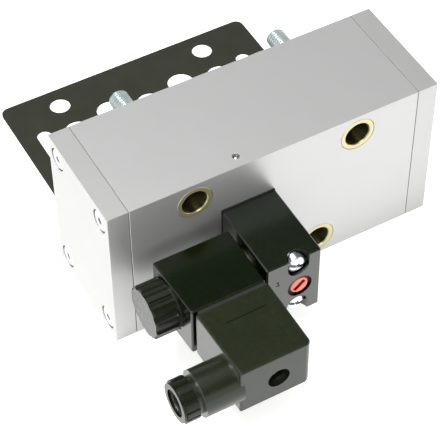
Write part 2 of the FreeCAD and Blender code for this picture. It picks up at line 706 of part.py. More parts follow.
def make_pilot():
    """The pilot's gasket, its moulded block with valve chamber and passages, and its two screws."""
    screw_heights = [PILOT_MIDDLE + sign + "pilot_screw_spacing / 2" for sign in ("-", "+")]
    passages = [("supply_passage_x", "tube_height"), ("output_passage_x", "tube_height"),
                ("exhaust_passage_x", "exhaust_passage_height")]
    flat = box("pilot_width", "pilot_gasket_thickness", "pilot_height",
               ("pilot_left_x", PILOT_BACK, "pilot_bottom"))
    holes = [cylinder("passage_radius", "pilot_gasket_thickness", (across, PILOT_BACK, height), "+Y")
             for across, height in passages]
    holes += [cylinder("pilot_screw_radius + screw_hole_clearance", "pilot_gasket_thickness",
                       ("pilot_screw_x", PILOT_BACK, height), "+Y") for height in screw_heights]
    piece("pilot_gasket", cut(flat, *holes))

    raw = box("pilot_width", "pilot_reach", "pilot_height", ("pilot_left_x", PILOT_FRONT, "pilot_bottom"))
    raw = soften(raw, "pilot_edge_round")
    cuts = []
    for height, lowest in zip(screw_heights, ("pilot_bottom", screw_heights[1])):
        cuts.append(cylinder("pilot_screw_recess_radius", "pilot_screw_recess_depth",
                             ("pilot_screw_x", PILOT_FRONT, height), "+Y"))
        cuts.append(cylinder("pilot_notch_radius", "(pilot_height - pilot_screw_spacing) / 2",
                             ("pilot_screw_x", PILOT_FRONT, lowest), "+Z"))
        cuts.append(cylinder("pilot_screw_radius + screw_hole_clearance", "pilot_reach",
                             ("pilot_screw_x", PILOT_FRONT, height), "+Y"))
    for across, height in passages:
        reach = PILOT_BACK + " - tube_y + passage_radius"
        cuts.append(cylinder("passage_radius", reach, (across, PILOT_BACK, height), "-Y"))
    axis = ("tube_y", "tube_height")
    cuts.append(cylinder("passage_radius", "exhaust_passage_height - tube_height",
                         ("exhaust_passage_x",) + axis, "+Z"))
    cuts.append(cylinder("tube_thread_radius + thread_clearance", "tube_thread_length",
                         ("pilot_left_x",) + axis, "+X"))
    cuts.append(cylinder("tube_thread_radius + 2 * tube_seal_radius", "2 * tube_seal_radius",
                         ("pilot_left_x",) + axis, "+X"))
    cuts.append(cylinder("valve_chamber_radius", "valve_chamber_length",
                         ("pilot_left_x + tube_thread_length",) + axis, "+X"))
    cuts.append(cylinder("orifice_radius", "supply_passage_x - " + SEAT_X, (SEAT_X,) + axis, "+X"))
    knob_bore = "override_knob_radius + running_clearance"
    cuts.append(cylinder("override_recess_radius", "override_recess_depth",
                         ("override_x", PILOT_FRONT, "override_height"), "+Y"))
    cuts.append(cylinder(knob_bore, OVERRIDE_STEP + " - " + PILOT_FRONT,
                         ("override_x", PILOT_FRONT, "override_height"), "+Y"))
    cuts.append(cylinder("override_stem_radius + running_clearance", "override_cavity_end - " + PILOT_FRONT,
                         ("override_x", PILOT_FRONT, "override_height"), "+Y"))
    cuts.append(cylinder("override_cavity_radius", "override_cavity_end - override_cavity_start",
                         ("override_x", "override_cavity_start", "override_height"), "+Y"))
    cuts.append(cylinder("override_duct_radius", "override_x - " + SEAT_X,
                         (SEAT_X, "override_duct_y", "override_duct_height"), "+X"))
    piece("pilot_body", cut(raw, *cuts))

    screws = []
    head = "pilot_screw_head_length"
    length = "pilot_reach - pilot_screw_recess_depth + pilot_gasket_thickness + pilot_screw_grip"
    for height in screw_heights:
        blank = turned([("0", "-1 * " + head), ("pilot_screw_head_radius - 0.3 * " + head, "-1 * " + head),
                        ("pilot_screw_head_radius", "-0.6 * " + head), ("pilot_screw_head_radius", "0"),
                        ("pilot_screw_radius", "0"), ("pilot_screw_radius", length), ("0", length)])
        size = "pilot_screw_head_radius"
        slots = [box("2 * " + size, "pilot_screw_slot_width", "pilot_screw_slot_depth",
                     ("-1 * " + size, "-pilot_screw_slot_width / 2", "-1 * " + head)),
                 box("pilot_screw_slot_width", size, "pilot_screw_slot_depth",
                     ("-pilot_screw_slot_width / 2", "-%s / 2" % size, "-1 * " + head))]
        seat = ("pilot_screw_x", PILOT_FRONT + " + pilot_screw_recess_depth", height)
        screws.append(place(cut(blank, *slots), seat, "+Y", number("pilot_screw_slot_turn")))
    piece("pilot_screws", group(*screws))


def make_override():
    """The manual override: a slotted knob that turns on a sprung pin, which opens a bypass when pushed."""
    spot = ("override_x", PILOT_FRONT + " + override_knob_sink", "override_height")
    knob = "override_knob_radius"
    groove = "(override_knob_length / 2 + override_groove_width / 2)"
    floor = knob + " - override_groove_depth"
    blind = "override_stem_radius + running_clearance"
    depth = "(override_knob_length - override_stem_overlap - seat_gap)"
    blank = turned([("0", "0"), (knob, "0"), (knob, groove + " - override_groove_width"),
                    (floor, groove + " - override_groove_width"), (floor, groove), (knob, groove),
                    (knob, "override_knob_length"), (blind, "override_knob_length"), (blind, depth),
                    ("0", depth)])
    slot = box("override_slot_length", "override_slot_width", "override_slot_depth",
               ("-override_slot_length / 2", "-override_slot_width / 2", "0"))
    piece("override_knob", place(cut(blank, slot), spot, "+Y", number("override_slot_turn")))
    section = "(override_groove_depth + running_clearance) / 2 - thread_clearance / 2"
    middle = PILOT_FRONT + " + override_knob_sink + override_knob_length / 2"
    piece("override_seal", o_ring(floor + " + (%s)" % section, section,
                                  ("override_x", middle, "override_height"), "+Y"))
    start = "(%s + override_knob_sink + override_knob_length - override_stem_overlap)" % PILOT_FRONT
    collar = "(override_stem_overlap + seat_gap)"
    tip = "(override_cavity_start - thread_clearance - %s)" % start
    piece("override_pin", turned([("0", "0"), ("override_stem_radius", "0"), ("override_stem_radius", collar),
                                  ("override_flange_radius", collar),
                                  ("override_flange_radius", collar + " + override_flange_length"),
                                  ("override_neck_radius", collar + " + override_flange_length"),
                                  ("override_neck_radius", tip + " - override_land_length"),
                                  ("override_stem_radius", tip + " - override_land_length"),
                                  ("override_stem_radius", tip), ("0", tip)],
                                 ("override_x", start, "override_height"), "+Y"))
    piece("override_spring", coil_spring("override_spring_radius", "override_spring_wire",
                                         "override_spring_length", "override_spring_turns",
                                         ("override_x", OVERRIDE_STEP + " - override_spring_length",
                                          "override_height"), "+Y"))


def make_solenoid():
    """The armature tube with its core, the plunger that opens the pilot seat, and the coil around them."""
    axis = ("tube_y", "tube_height")
    mouth = "pilot_left_x + tube_thread_length"
    root = ("(%s)" % mouth,) + axis
    flange = "(tube_thread_length + coil_pilot_gap)"
    coil_end = "(tube_thread_length + coil_pilot_gap + coil_length)"
    stud_end = "(%s + tube_stud_length)" % coil_end
    bore_end = "(%s - tube_end_wall)" % coil_end
    piece("armature_tube", turned([
        ("tube_bore_radius", "0"), ("tube_thread_radius", "0"), ("tube_thread_radius", "tube_thread_length"),
        ("tube_flange_radius", "tube_thread_length"), ("tube_flange_radius", flange),
        ("tube_outer_radius", flange), ("tube_outer_radius", coil_end), ("tube_stud_radius", coil_end),
        ("tube_stud_radius", stud_end), ("0", stud_end), ("0", bore_end), ("tube_bore_radius", bore_end)],
        root, "-X"))
    piece("tube_seal", o_ring("tube_thread_radius + tube_seal_radius", "tube_seal_radius",
                              ("pilot_left_x + tube_seal_radius",) + axis, "-X"))
    rest = "(%s - seat_gap)" % SEAT_X
    core_face = "(%s - plunger_length - plunger_travel - plunger_air_gap)" % rest
    core = "(%s - (pilot_left_x - coil_pilot_gap - coil_length + tube_end_wall))" % core_face
    piece("fixed_core", cylinder("tube_bore_radius", core, (core_face,) + axis, "-X"))
    piece("plunger", turned([
        ("plunger_seat_radius", "0"), ("tube_bore_radius - running_clearance", "0"),
        ("tube_bore_radius - running_clearance", "plunger_length"),
        ("plunger_pocket_radius", "plunger_length"),
        ("plunger_pocket_radius", "plunger_length - plunger_pocket_length"),
        ("0", "plunger_length - plunger_pocket_length"), ("0", "plunger_seat_length"),
        ("plunger_seat_radius", "plunger_seat_length")], (rest,) + axis, "-X"))
    piece("plunger_seal", cylinder("plunger_seat_radius", "plunger_seat_length", (rest,) + axis, "-X"))
    free = "(plunger_pocket_length + plunger_travel + plunger_air_gap)"
    piece("plunger_spring", coil_spring("plunger_spring_radius", "plunger_spring_wire", free,
                                        "plunger_spring_turns",
                                        ("%s - plunger_length + plunger_pocket_length" % rest,) + axis, "-X"))

    raw = tapered("coil_length", "coil_depth", "coil_width", "coil_taper",
                  (COIL_LEFT, COIL_FRONT, "tube_height - coil_width / 2"))
    raw = soften(raw, "coil_edge_round", kind="Part::Fillet")
    bore = "tube_outer_radius + coil_bore_clearance"
    left = (COIL_LEFT,) + axis
    inside = (COIL_LEFT + " + coil_wall",) + axis
    cuts = [cylinder(bore, "coil_length", left, "+X"),
            cylinder("nut_radius + insert_clearance", "coil_taper", left, "-X"),
            cylinder("bobbin_radius", "coil_length - 2 * coil_wall", inside, "+X")]
    for across, height in BLADES:
        cuts.append(box("blade_thickness" if across else "blade_width", "blade_root",
                        "blade_width" if across else "blade_thickness",
                        blade_corner(across, height, COIL_FRONT)))
    cuts.append(cylinder("connector_screw_radius + thread_clearance", "connector_screw_grip + 0.5",
                         ("connector_screw_x", COIL_FRONT, CONNECTOR_MIDDLE), "+Y"))
    piece("coil_housing", cut(raw, *cuts))
    spool_length = "(coil_length - 2 * coil_wall)"
    tube = bore + " + bobbin_wall"
    piece("coil_bobbin", turned([(bore, "0"), ("bobbin_radius", "0"), ("bobbin_radius", "bobbin_wall"),
                                 (tube, "bobbin_wall"), (tube, spool_length + " - bobbin_wall"),
                                 ("bobbin_radius", spool_length + " - bobbin_wall"),
                                 ("bobbin_radius", spool_length), (bore, spool_length)], inside, "+X"))
    piece("coil_winding", ring("winding_radius", tube, spool_length + " - 2 * bobbin_wall",
                               (COIL_LEFT + " + coil_wall + bobbin_wall",) + axis, "+X"))
    blades = [box("blade_thickness" if across else "blade_width", "blade_length + blade_root",
                  "blade_width" if across else "blade_thickness",
                  blade_corner(across, height, COIL_FRONT + " - blade_length")) for across, height in BLADES]
    piece("coil_terminals", group(*blades))

    piece("nut_washer", ring("nut_washer_radius", "tube_stud_radius", "nut_washer_thickness", left, "-X"))
    start = COIL_LEFT + " - nut_washer_thickness"
    stud = "(tube_stud_length - nut_washer_thickness + seat_gap)"
    blank = turned([("tube_stud_radius", "0"), ("nut_collar_radius", "0"),
                    ("nut_collar_radius", "nut_collar_length"), ("nut_radius", "nut_collar_length"),
                    ("nut_radius", "nut_length - nut_edge_round"),
                    ("nut_radius - nut_edge_round", "nut_length"), ("0", "nut_length"),
                    ("0", stud), ("tube_stud_radius", stud)])
    flute = cylinder("nut_flute_radius", "nut_length",
                     ("nut_radius + nut_flute_centre_out", "0", "nut_collar_length"))
    piece("coil_nut", place(cut(blank, around(flute, "nut_flute_count")), (start,) + axis, "-X"))


def around(thing, count):
    """Copies of a thing evenly around Z."""
    doc.recompute()
    array = doc.addObject("Part::Feature", "array")
    copies = []
    for index in range(int(number(count))):
        copy = thing.Shape.copy()
        copy.rotate(FreeCAD.Vector(), FreeCAD.Vector(0, 0, 1), 360.0 * index / number(count))
        copies.append(copy)
    array.Shape = Part.makeCompound(copies)
    return array


def make_connector():
    """The cable connector: gasket, housing, insert with its clamps, and the long screw."""
    inset = "connector_gasket_inset"
    flat = box("connector_width - 2 * " + inset, "connector_gasket_thickness",
               "connector_height - 2 * " + inset,
               ("connector_left_x + " + inset, CONNECTOR_BACK, "connector_bottom + " + inset))
    hole = "connector_screw_radius + screw_hole_clearance"
    openings = [cylinder(hole, "connector_gasket_thickness",
                         ("connector_screw_x", CONNECTOR_BACK, CONNECTOR_MIDDLE), "+Y")]
    for across, height in BLADES:
        openings.append(box("blade_thickness" if across else "blade_width", "connector_gasket_thickness",
                            "blade_width" if across else "blade_thickness",
                            blade_corner(across, height, CONNECTOR_BACK)))
    piece("connector_gasket", cut(flat, *openings))

    raw = tapered("connector_width", "connector_reach", "connector_height", "connector_taper",
                  ("connector_left_x", CONNECTOR_FRONT, "connector_bottom"))
    corners = tapered_edges("right", "front") + tapered_edges("right", "bottom")
    others = [edge for edge in range(1, 13) if edge not in corners + tapered_edges("back")]
    raw = soften(raw, "connector_corner_round", corners, "Part::Fillet", "connector_edge_round", others)
    gland = ("gland_y", "gland_height")
    barrel = cylinder("gland_barrel_radius", "gland_barrel_length + 2 * connector_edge_round",
                      ("connector_left_x + 2 * connector_edge_round",) + gland, "-X")
    neck = cylinder("gland_neck_radius", "gland_neck_length", (GLAND_SHOULDER,) + gland, "-X")
    wall = "connector_wall"
    inner = "connector_height - 2 * " + wall
    cavity_front = CONNECTOR_BACK + " - connector_cavity_length"
    cuts = [box("connector_width - 2 * " + wall, "connector_cavity_length", inner,
                ("connector_left_x + " + wall, cavity_front, "connector_bottom + " + wall)),
            box("connector_screw_x - connector_recess_radius - connector_left_x - 2 * " + wall,
                cavity_front + " - (%s + %s)" % (CONNECTOR_FRONT, wall), inner,
                ("connector_left_x + " + wall, CONNECTOR_FRONT + " + " + wall,
                 "connector_bottom + " + wall)),
            cylinder("gland_bore_radius", "gland_barrel_length + gland_neck_length + 2 * " + wall,
                     ("connector_left_x + 2 * " + wall,) + gland, "-X"),
            cylinder("gland_pocket_radius", GLAND_POCKET,
                     (GLAND_SHOULDER + " - gland_neck_length",) + gland, "+X"),
            cylinder("connector_recess_radius", "connector_recess_depth",
                     ("connector_screw_x", CONNECTOR_FRONT, CONNECTOR_MIDDLE), "+Y"),
            cylinder(hole, "connector_reach", ("connector_screw_x", CONNECTOR_FRONT, CONNECTOR_MIDDLE), "+Y"),
            box("label_recess_width", "label_recess_reach", "label_recess_depth",
                ("connector_left_x + label_recess_from_left",
                 CONNECTOR_BACK + " - label_recess_from_back - label_recess_reach",
                 "connector_bottom + connector_height - label_recess_depth"))]
    piece("connector_housing", cut(fuse(raw, barrel, neck), *cuts))

    gap = "insert_clearance"
    insert_y = CONNECTOR_BACK + " - insert_length"
    raw = box("connector_width - 2 * %s - 2 * %s" % (wall, gap), "insert_length",
              "connector_height - 2 * %s - 2 * %s" % (wall, gap),
              ("connector_left_x + %s + %s" % (wall, gap), insert_y,
               "connector_bottom + %s + %s" % (wall, gap)))
    cuts = [cylinder(hole, "insert_length", ("connector_screw_x", insert_y, CONNECTOR_MIDDLE), "+Y")]
    clamps = []
    screws = []
    for across, height in BLADES:
        cuts.append(box("blade_thickness" if across else "blade_width", "insert_length",
                        "blade_width" if across else "blade_thickness",
                        blade_corner(across, height, insert_y)))
        wide = "clamp_width" if across else "clamp_height"
        high = "clamp_height" if across else "clamp_width"
        corner = (BLADE_X[across] + " - %s / 2" % wide, insert_y,
                  "(%s + %s) - %s / 2" % (CONNECTOR_MIDDLE, height, high))
        cuts.append(box(wide, "clamp_length", high, corner))
        slot = box("blade_thickness" if across else "blade_width", "clamp_length / 2",
                   "blade_width" if across else "blade_thickness",
                   blade_corner(across, height, insert_y + " + clamp_length / 2"))
        spot = (BLADE_X[across], insert_y, "(%s + %s)" % (CONNECTOR_MIDDLE, height))
        thread = cylinder("clamp_screw_radius", "clamp_screw_length", spot, "+Y")
        clamps.append(cut(box(wide, "clamp_length", high, corner), slot, thread))
        blank = turned([("0", "-1 * clamp_screw_head_length"),
                        ("clamp_screw_head_radius", "-1 * clamp_screw_head_length"),
                        ("clamp_screw_head_radius", "0"), ("clamp_screw_radius", "0"),
                        ("clamp_screw_radius", "clamp_screw_length"), ("0", "clamp_screw_length")])
        notch = box("2 * clamp_screw_head_radius", "blade_thickness / 2", "clamp_screw_head_length / 2",
                    ("-1 * clamp_screw_head_radius", "-blade_thickness / 4", "-1 * clamp_screw_head_length"))
        screws.append(place(cut(blank, notch), spot, "+Y"))
    piece("terminal_block", cut(raw, *cuts))
    piece("terminal_clamps", group(*clamps))
    piece("terminal_screws", group(*screws))
    seat = "(%s + connector_recess_depth)" % CONNECTOR_FRONT
    head = "connector_screw_head_length"
    length = "%s + connector_screw_grip - %s" % (COIL_FRONT, seat)
    blank = turned([("0", "-1 * " + head), ("connector_screw_head_radius", "-1 * " + head),
                    ("connector_screw_head_radius", "0"), ("connector_screw_radius", "0"),
                    ("connector_screw_radius", length), ("0", length)])
    notch = box("2 * connector_screw_head_radius", "blade_thickness", head + " / 2",
                ("-1 * connector_screw_head_radius", "-blade_thickness / 2", "-1 * " + head))
    piece("connector_screw", place(cut(blank, notch), ("connector_screw_x", seat, CONNECTOR_MIDDLE), "+Y"))


def make_gland():
    """The cable gland: seal, washer and ribbed nut."""
    axis = ("gland_y", "gland_height")
    lip = "(%s - gland_nut_length + gland_nut_lip)" % GLAND_NUT_BACK
    piece("gland_washer", ring("gland_pocket_radius - thread_clearance", "gland_opening_radius",
                               "gland_washer_thickness", (lip,) + axis, "+X"))
    piece("gland_seal", ring("gland_pocket_radius", "gland_seal_bore_radius", "gland_seal_length",
                             ("%s + gland_washer_thickness" % lip,) + axis, "+X"))
    inner = "gland_neck_radius"
    depth = "(gland_nut_length - gland_nut_lip)"
    rim = "gland_nut_radius - gland_rim_step"
    blank = turned([(inner, "0"), ("gland_nut_radius", "0"),
                    ("gland_nut_radius", "gland_nut_length - gland_rim_length"),
                    (rim, "gland_nut_length - gland_rim_length"), (rim, "gland_nut_length"),
                    ("gland_opening_radius", "gland_nut_length"), ("gland_opening_radius", depth),
                    (inner, depth)])
    groove = cylinder("gland_rib_radius", "gland_nut_length", ("gland_nut_radius", "0", "0"))
    piece("gland_nut", place(cut(blank, around(groove, "gland_nut_ribs")), (GLAND_NUT_BACK,) + axis, "-X"))


def make_mounting_gasket():
    """The flat gasket of the mounting face, lying behind the valve as if tipped down from it."""
    near = "(%s + flat_gasket_distance)" % BACK
    middle = "flat_gasket_shift"
    raw = box("flat_gasket_width", "block_height", "flat_gasket_thickness",
              (middle + " - flat_gasket_width / 2", near, "0"))
    raw = soften(raw, "flat_gasket_corner", (1, 3, 5, 7), "Part::Fillet")
    thick = "flat_gasket_thickness"
    cuts = [cylinder("bolt_radius + bolt_hole_clearance", thick,
                     ("%s + %s" % (across, middle), near + " + " + height, "0"))
            for across, height in BOLT_PLACES]
    for step in (-2, -1, 0, 1, 2):
        rise = "spool_height + outlet_port_rise" if step in (-1, 1) else "spool_height"
        cuts.append(cylinder("port_radius", thick,
                             ("%d * port_pitch + %s" % (step, middle), near + " + " + rise, "0")))
    for sign in ("-", "+"):
        spot = "%s %s pilot_port_x" % (middle, sign)
        half = "pilot_slot_width / 2"
        cuts.append(box("pilot_slot_width", "pilot_slot_top - pilot_slot_bottom - pilot_slot_width", thick,
                        (spot + " - " + half, near + " + pilot_slot_bottom + " + half, "0")))
        for end in ("pilot_slot_bottom + " + half, "pilot_slot_top - " + half):
            cuts.append(cylinder(half, thick, (spot, near + " + " + end, "0")))
    piece("mounting_gasket", cut(raw, *cuts))


make_block()
make_bolts()
make_end(-1, "left")
make_end(1, "right")
make_spool()
make_pilot()
make_override()
doc.recompute()
make_solenoid()
make_connector()
make_gland()
make_mounting_gasket()
doc.recompute()

# Nothing is written unless every step of every piece is sound
for thing in doc.Objects:
    if "Invalid" in thing.State or "Error" in thing.State:
        raise RuntimeError("%s did not build" % thing.Name)
for thing in pieces:
    if not thing.Shape.isValid() or not thing.Shape.Solids:
        raise RuntimeError("%s is not a sound solid" % thing.Label)
os.makedirs("parts", exist_ok=True)
for thing in pieces:
    thing.Shape.exportStep("parts/%s.step" % thing.Label)
    print(thing.Label, len(thing.Shape.Solids), round(thing.Shape.Volume, 1))
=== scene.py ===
"""The looks of the pneumatic solenoid valve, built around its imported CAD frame."""
import bpy
import bmesh
import json
import math
from mathutils import Euler, Matrix, Vector


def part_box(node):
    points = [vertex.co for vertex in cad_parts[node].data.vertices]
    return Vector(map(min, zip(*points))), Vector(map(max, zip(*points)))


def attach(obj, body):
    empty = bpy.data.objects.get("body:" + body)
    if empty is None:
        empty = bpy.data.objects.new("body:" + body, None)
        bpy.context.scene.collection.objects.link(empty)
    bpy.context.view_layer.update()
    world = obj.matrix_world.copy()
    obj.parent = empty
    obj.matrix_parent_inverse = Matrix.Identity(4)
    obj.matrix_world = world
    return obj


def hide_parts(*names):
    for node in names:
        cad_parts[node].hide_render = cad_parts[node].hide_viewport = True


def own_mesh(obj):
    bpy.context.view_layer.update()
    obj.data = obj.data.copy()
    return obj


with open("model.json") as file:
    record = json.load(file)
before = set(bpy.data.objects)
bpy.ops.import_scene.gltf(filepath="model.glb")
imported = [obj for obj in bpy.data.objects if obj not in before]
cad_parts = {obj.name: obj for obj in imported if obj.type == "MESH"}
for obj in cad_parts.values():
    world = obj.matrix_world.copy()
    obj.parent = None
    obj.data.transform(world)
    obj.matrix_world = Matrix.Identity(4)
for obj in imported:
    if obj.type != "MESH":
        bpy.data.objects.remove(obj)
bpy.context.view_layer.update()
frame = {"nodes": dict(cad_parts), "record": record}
nodes = frame["nodes"]
record = frame["record"]
MM = 0.001

# Places shared with the solids, in millimetres; those in a face are (across, height)
BLOCK_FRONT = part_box("valve_block")[0][1] / MM
BOLTS = [(-34.8, 60.2), (34.8, 60.2), (-19.2, 9.5), (19.2, 9.5)]
BOLT_HEAD_FACE = -15.0
PLATE_SCREWS = [(-17.3, 7.0), (17.3, 7.0), (-17.3, 62.7), (17.3, 62.7)]
PLATE_SCREW_FACE = 69.8
PILOT_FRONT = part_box("pilot_body")[0][1] / MM
PILOT_SCREWS = [(-10.8, 23.15), (-10.8, 44.95)]
PILOT_SCREW_SEAT = PILOT_FRONT + 5.0
KNOB = (-10.0, 33.6)
KNOB_FACE = PILOT_FRONT + 0.3
MARK = (-19.3, 40.1)

# The radius of each spring's wire in millimetres, and its turns
SPRING_WIRES = {"return_spring": (0.5, 5), "plunger_spring": (0.25, 5), "override_spring": (0.3, 2.5)}
WIRE_SIDES = 10
STEPS_PER_TURN = 24

# A thread's flank: its slope over a turn, and the share of its rise that lies under the root
FLANK_SLOPE = 2.6
FLANK_SUNK = 0.3

# Edges sharper than this many degrees stay sharp
SMOOTH_ANGLE = 32

# The photograph's camera, solved from the block's edges: metres, degrees and millimetres
CAMERA_PLACE = (-0.22680, -0.39301, 0.52815)
CAMERA_TURN = (41.0191, 0.3731, -29.1758)
CAMERA_LENS = 141.163

# The floor, and how brightly it glows where the camera sees it and where a surface mirrors it
FLOOR_HALF_SIDE = 3.0
FLOOR_COLOR = (0.60, 0.60, 0.60)
FLOOR_GLOW = (1, 1, 0.98)
FLOOR_SEEN = 0.7
FLOOR_MIRRORED = 0.85

# The sky's grey levels, from the horizon at 0 to straight overhead at 1
SKY_STRENGTH = 1.6
SKY = [(0.0, 0.8), (0.30, 0.8), (0.58, 0.06), (0.86, 0.06), (0.95, 0.35), (1.0, 0.35)]

# Each lamp's name, place and width in metres, and power in watts
LAMPS = [("key", (-0.35, -0.6, 1.3), 0.9, 8.0),
         ("front", (-0.4, -1.3, 0.5), 0.8, 2.0),
         ("top", (-0.3, 0.2, 1.45), 0.5, 23.0)]
LAMP_AIM = (0, 0, 0.03)

# A noise texture's values lie mostly between these
NOISE_LOW = 0.3
NOISE_HIGH = 0.7

# The colour sockets of a Mix node, which share their names with its other sockets
MIX_FACTOR, MIX_FIRST, MIX_SECOND, MIX_RESULT = 0, 6, 7, 2


def fill_ramp(ramp, stops):
    """Sets the stops of a colour ramp node, each a position and a colour."""
    elements = ramp.color_ramp.elements
    while len(elements) < len(stops):
        elements.new(0.5)
    for element, (position, color) in zip(elements, stops):
        element.position = position
        element.color = (*color, 1)


class Shader:
    """A material under construction: a Principled shader with bump and colour fed by procedural textures."""

    def __init__(self, name, color, roughness, metallic=0.0, specular=0.5):
        self.material = bpy.data.materials.new(name)
        self.material.use_nodes = True
        self.tree = self.material.node_tree
        self.main = self.tree.nodes["Principled BSDF"]
        self.main.inputs["Base Color"].default_value = (*color, 1)
        self.main.inputs["Roughness"].default_value = roughness
        self.main.inputs["Metallic"].default_value = metallic
        self.main.inputs["Specular IOR Level"].default_value = specular
        self.color = color
        self.painted = None
        self.normal = None

    def node(self, kind):
        return self.tree.nodes.new(kind)

    def link(self, start, end):
        self.tree.links.new(start, end)

    def where(self, scale=(1, 1, 1)):
        """The point on the object in metres, stretched by a scale."""
        coordinates = self.node("ShaderNodeTexCoord")
        mapping = self.node("ShaderNodeMapping")
        mapping.inputs["Scale"].default_value = scale
        self.link(coordinates.outputs["Object"], mapping.inputs["Vector"])
        return mapping.outputs["Vector"]

    def noise(self, scale, detail=3.0, rough=0.5, stretch=(1, 1, 1)):
        texture = self.node("ShaderNodeTexNoise")
        texture.inputs["Scale"].default_value = scale
        texture.inputs["Detail"].default_value = detail
        texture.inputs["Roughness"].default_value = rough
        self.link(self.where(stretch), texture.inputs["Vector"])
        return texture.outputs["Fac"]

    def depth(self, start, end):
        """A factor that goes from 0 to 1 between two places along Y, in millimetres."""
        split = self.node("ShaderNodeSeparateXYZ")
        self.link(self.where(), split.inputs["Vector"])
        span = self.node("ShaderNodeMapRange")
        span.inputs["From Min"].default_value = start * MM
        span.inputs["From Max"].default_value = end * MM
        self.link(split.outputs["Y"], span.inputs["Value"])
        return span.outputs["Result"]

    def ramp(self, factor, stops):
        ramp = self.node("ShaderNodeValToRGB")
        fill_ramp(ramp, stops)
        self.link(factor, ramp.inputs["Fac"])
        return ramp.outputs["Color"]

    def paint(self, color):
        self.link(color, self.main.inputs["Base Color"])
        self.painted = color

    def tint(self, factor, low, high):
        """Paints the base colour, darker or lighter by a noise."""
        dark = [c * low for c in self.color]
        light = [min(c * high, 1) for c in self.color]
        self.paint(self.ramp(factor, [(NOISE_LOW, dark), (NOISE_HIGH, light)]))

    def cover(self, factor, color):
        """Another colour where the factor is 1, over what is painted so far."""
        mix = self.node("ShaderNodeMix")
        mix.data_type = "RGBA"
        self.link(factor, mix.inputs[MIX_FACTOR])
        self.link(self.painted, mix.inputs[MIX_FIRST])
        mix.inputs[MIX_SECOND].default_value = (*color, 1)
        self.paint(mix.outputs[MIX_RESULT])

    def vary_roughness(self, factor, low, high):
        level = self.ramp(factor, [(NOISE_LOW, (low,) * 3), (NOISE_HIGH, (high,) * 3)])
        self.link(level, self.main.inputs["Roughness"])

    def bump(self, height, distance, strength=1.0):
        """Adds relief from a height, over the relief that is there already."""
        bump = self.node("ShaderNodeBump")
        bump.inputs["Distance"].default_value = distance
        bump.inputs["Strength"].default_value = strength
        self.link(height, bump.inputs["Height"])
        if self.normal is not None:
            self.link(self.normal, bump.inputs["Normal"])
        self.normal = bump.outputs["Normal"]
        self.link(self.normal, self.main.inputs["Normal"])


def aluminium(name, color, grain):
    """Silver anodised aluminium: fine blasted grain with faint long marks from the saw and mill."""
    shader = Shader(name, color, roughness=0.44, metallic=0.70, specular=0.3)
    shader.tint(shader.noise(60, 4), 0.992, 1.008)
    shader.vary_roughness(shader.noise(400, 3, 0.6), 0.40, 0.42)
    shader.bump(shader.noise(2500, 2), distance=0.00001, strength=0.15)
    shader.bump(shader.noise(300, 3, 0.6, grain), distance=0.00001, strength=0.05)
    return shader.material


def plastic(name, color, roughness, grain=3500, specular=0.5, sheen=0.0):
    """Moulded glass-filled plastic with its tool's fine pitted skin, and a dusty sheen where one is given."""
    shader = Shader(name, color, roughness, specular=specular)
    shader.main.inputs["Sheen Weight"].default_value = sheen
    shader.main.inputs["Sheen Roughness"].default_value = 0.25
    shader.tint(shader.noise(120, 4), 0.88, 1.12)
    shader.vary_roughness(shader.noise(500, 3), roughness - 0.02, roughness + 0.03)
    shader.bump(shader.noise(grain, 2, 0.6), distance=0.00002, strength=0.1)
    return shader.material


def rubber(name, color):
    """Matt rubber, fibre or ink with a fine rough skin."""
    shader = Shader(name, color, roughness=0.72, specular=0.35)
    shader.tint(shader.noise(90, 5, 0.65), 0.82, 1.2)
    shader.bump(shader.noise(1800, 3, 0.7), distance=0.00005, strength=0.4)
    return shader.material


def metal(name, color, roughness, stretch=(1, 1, 1)):
    """Turned, drawn or plated metal; a stretch squeezes its tool marks along an axis."""
    shader = Shader(name, color, roughness, metallic=1.0)
    shader.tint(shader.noise(250, 4), 0.93, 1.06)
    shader.vary_roughness(shader.noise(900, 3), roughness - 0.06, roughness + 0.08)
    shader.bump(shader.noise(900, 2, 0.6, stretch), distance=0.00002, strength=0.3)
    return shader.material


def turned_brass(name):
    """Yellow brass with a bright turned face; behind it the bore is painted near black, a painted shade of
    its deep inside.
    """
    shader = Shader(name, (0.60, 0.54, 0.31), roughness=0.32, metallic=0.7)
    shader.tint(shader.noise(250, 4), 0.96, 1.04)
    # Painted shade: the bore from just behind the face inwards is coloured near black.
    shader.cover(shader.depth(BLOCK_FRONT + 0.15, BLOCK_FRONT + 0.5), (0.032, 0.026, 0.003))
    shader.bump(shader.noise(900, 2, 0.6), distance=0.00001, strength=0.3)
    return shader.material


def bolt_zinc(name):
    """Bluish bright zinc, painted dark as shade at the head deep in its bore, fading to bare zinc towards the
    back of the block.
    """
    shader = Shader(name, (0.52, 0.60, 0.59), roughness=0.36, metallic=0.7)
    shader.tint(shader.noise(250, 4), 0.93, 1.06)
    # Painted shade: near black at the head, fading out by the back of the block.
    painted_shade = shader.ramp(shader.depth(-10, 20), [(0.0, (1, 1, 1)), (1.0, (0, 0, 0))])
    shader.cover(painted_shade, (0.05, 0.045, 0.02))
    shader.vary_roughness(shader.noise(900, 3), 0.30, 0.44)
    return shader.material


def knob_red(name):
    """Salmon red moulding, painted a deeper red as shade inside its slot and down its sides."""
    shader = Shader(name, (0.95, 0.30, 0.22), roughness=0.42, specular=0.4)
    shader.tint(shader.noise(600, 3), 0.92, 1.08)
    # Painted shade: everything more than a fraction of a millimetre behind the face is a dark red.
    shader.cover(shader.depth(KNOB_FACE + 0.05, KNOB_FACE + 0.3), (0.36, 0.006, 0.004))
    shader.bump(shader.noise(3000, 2, 0.6), distance=0.00002, strength=0.3)
    return shader.material


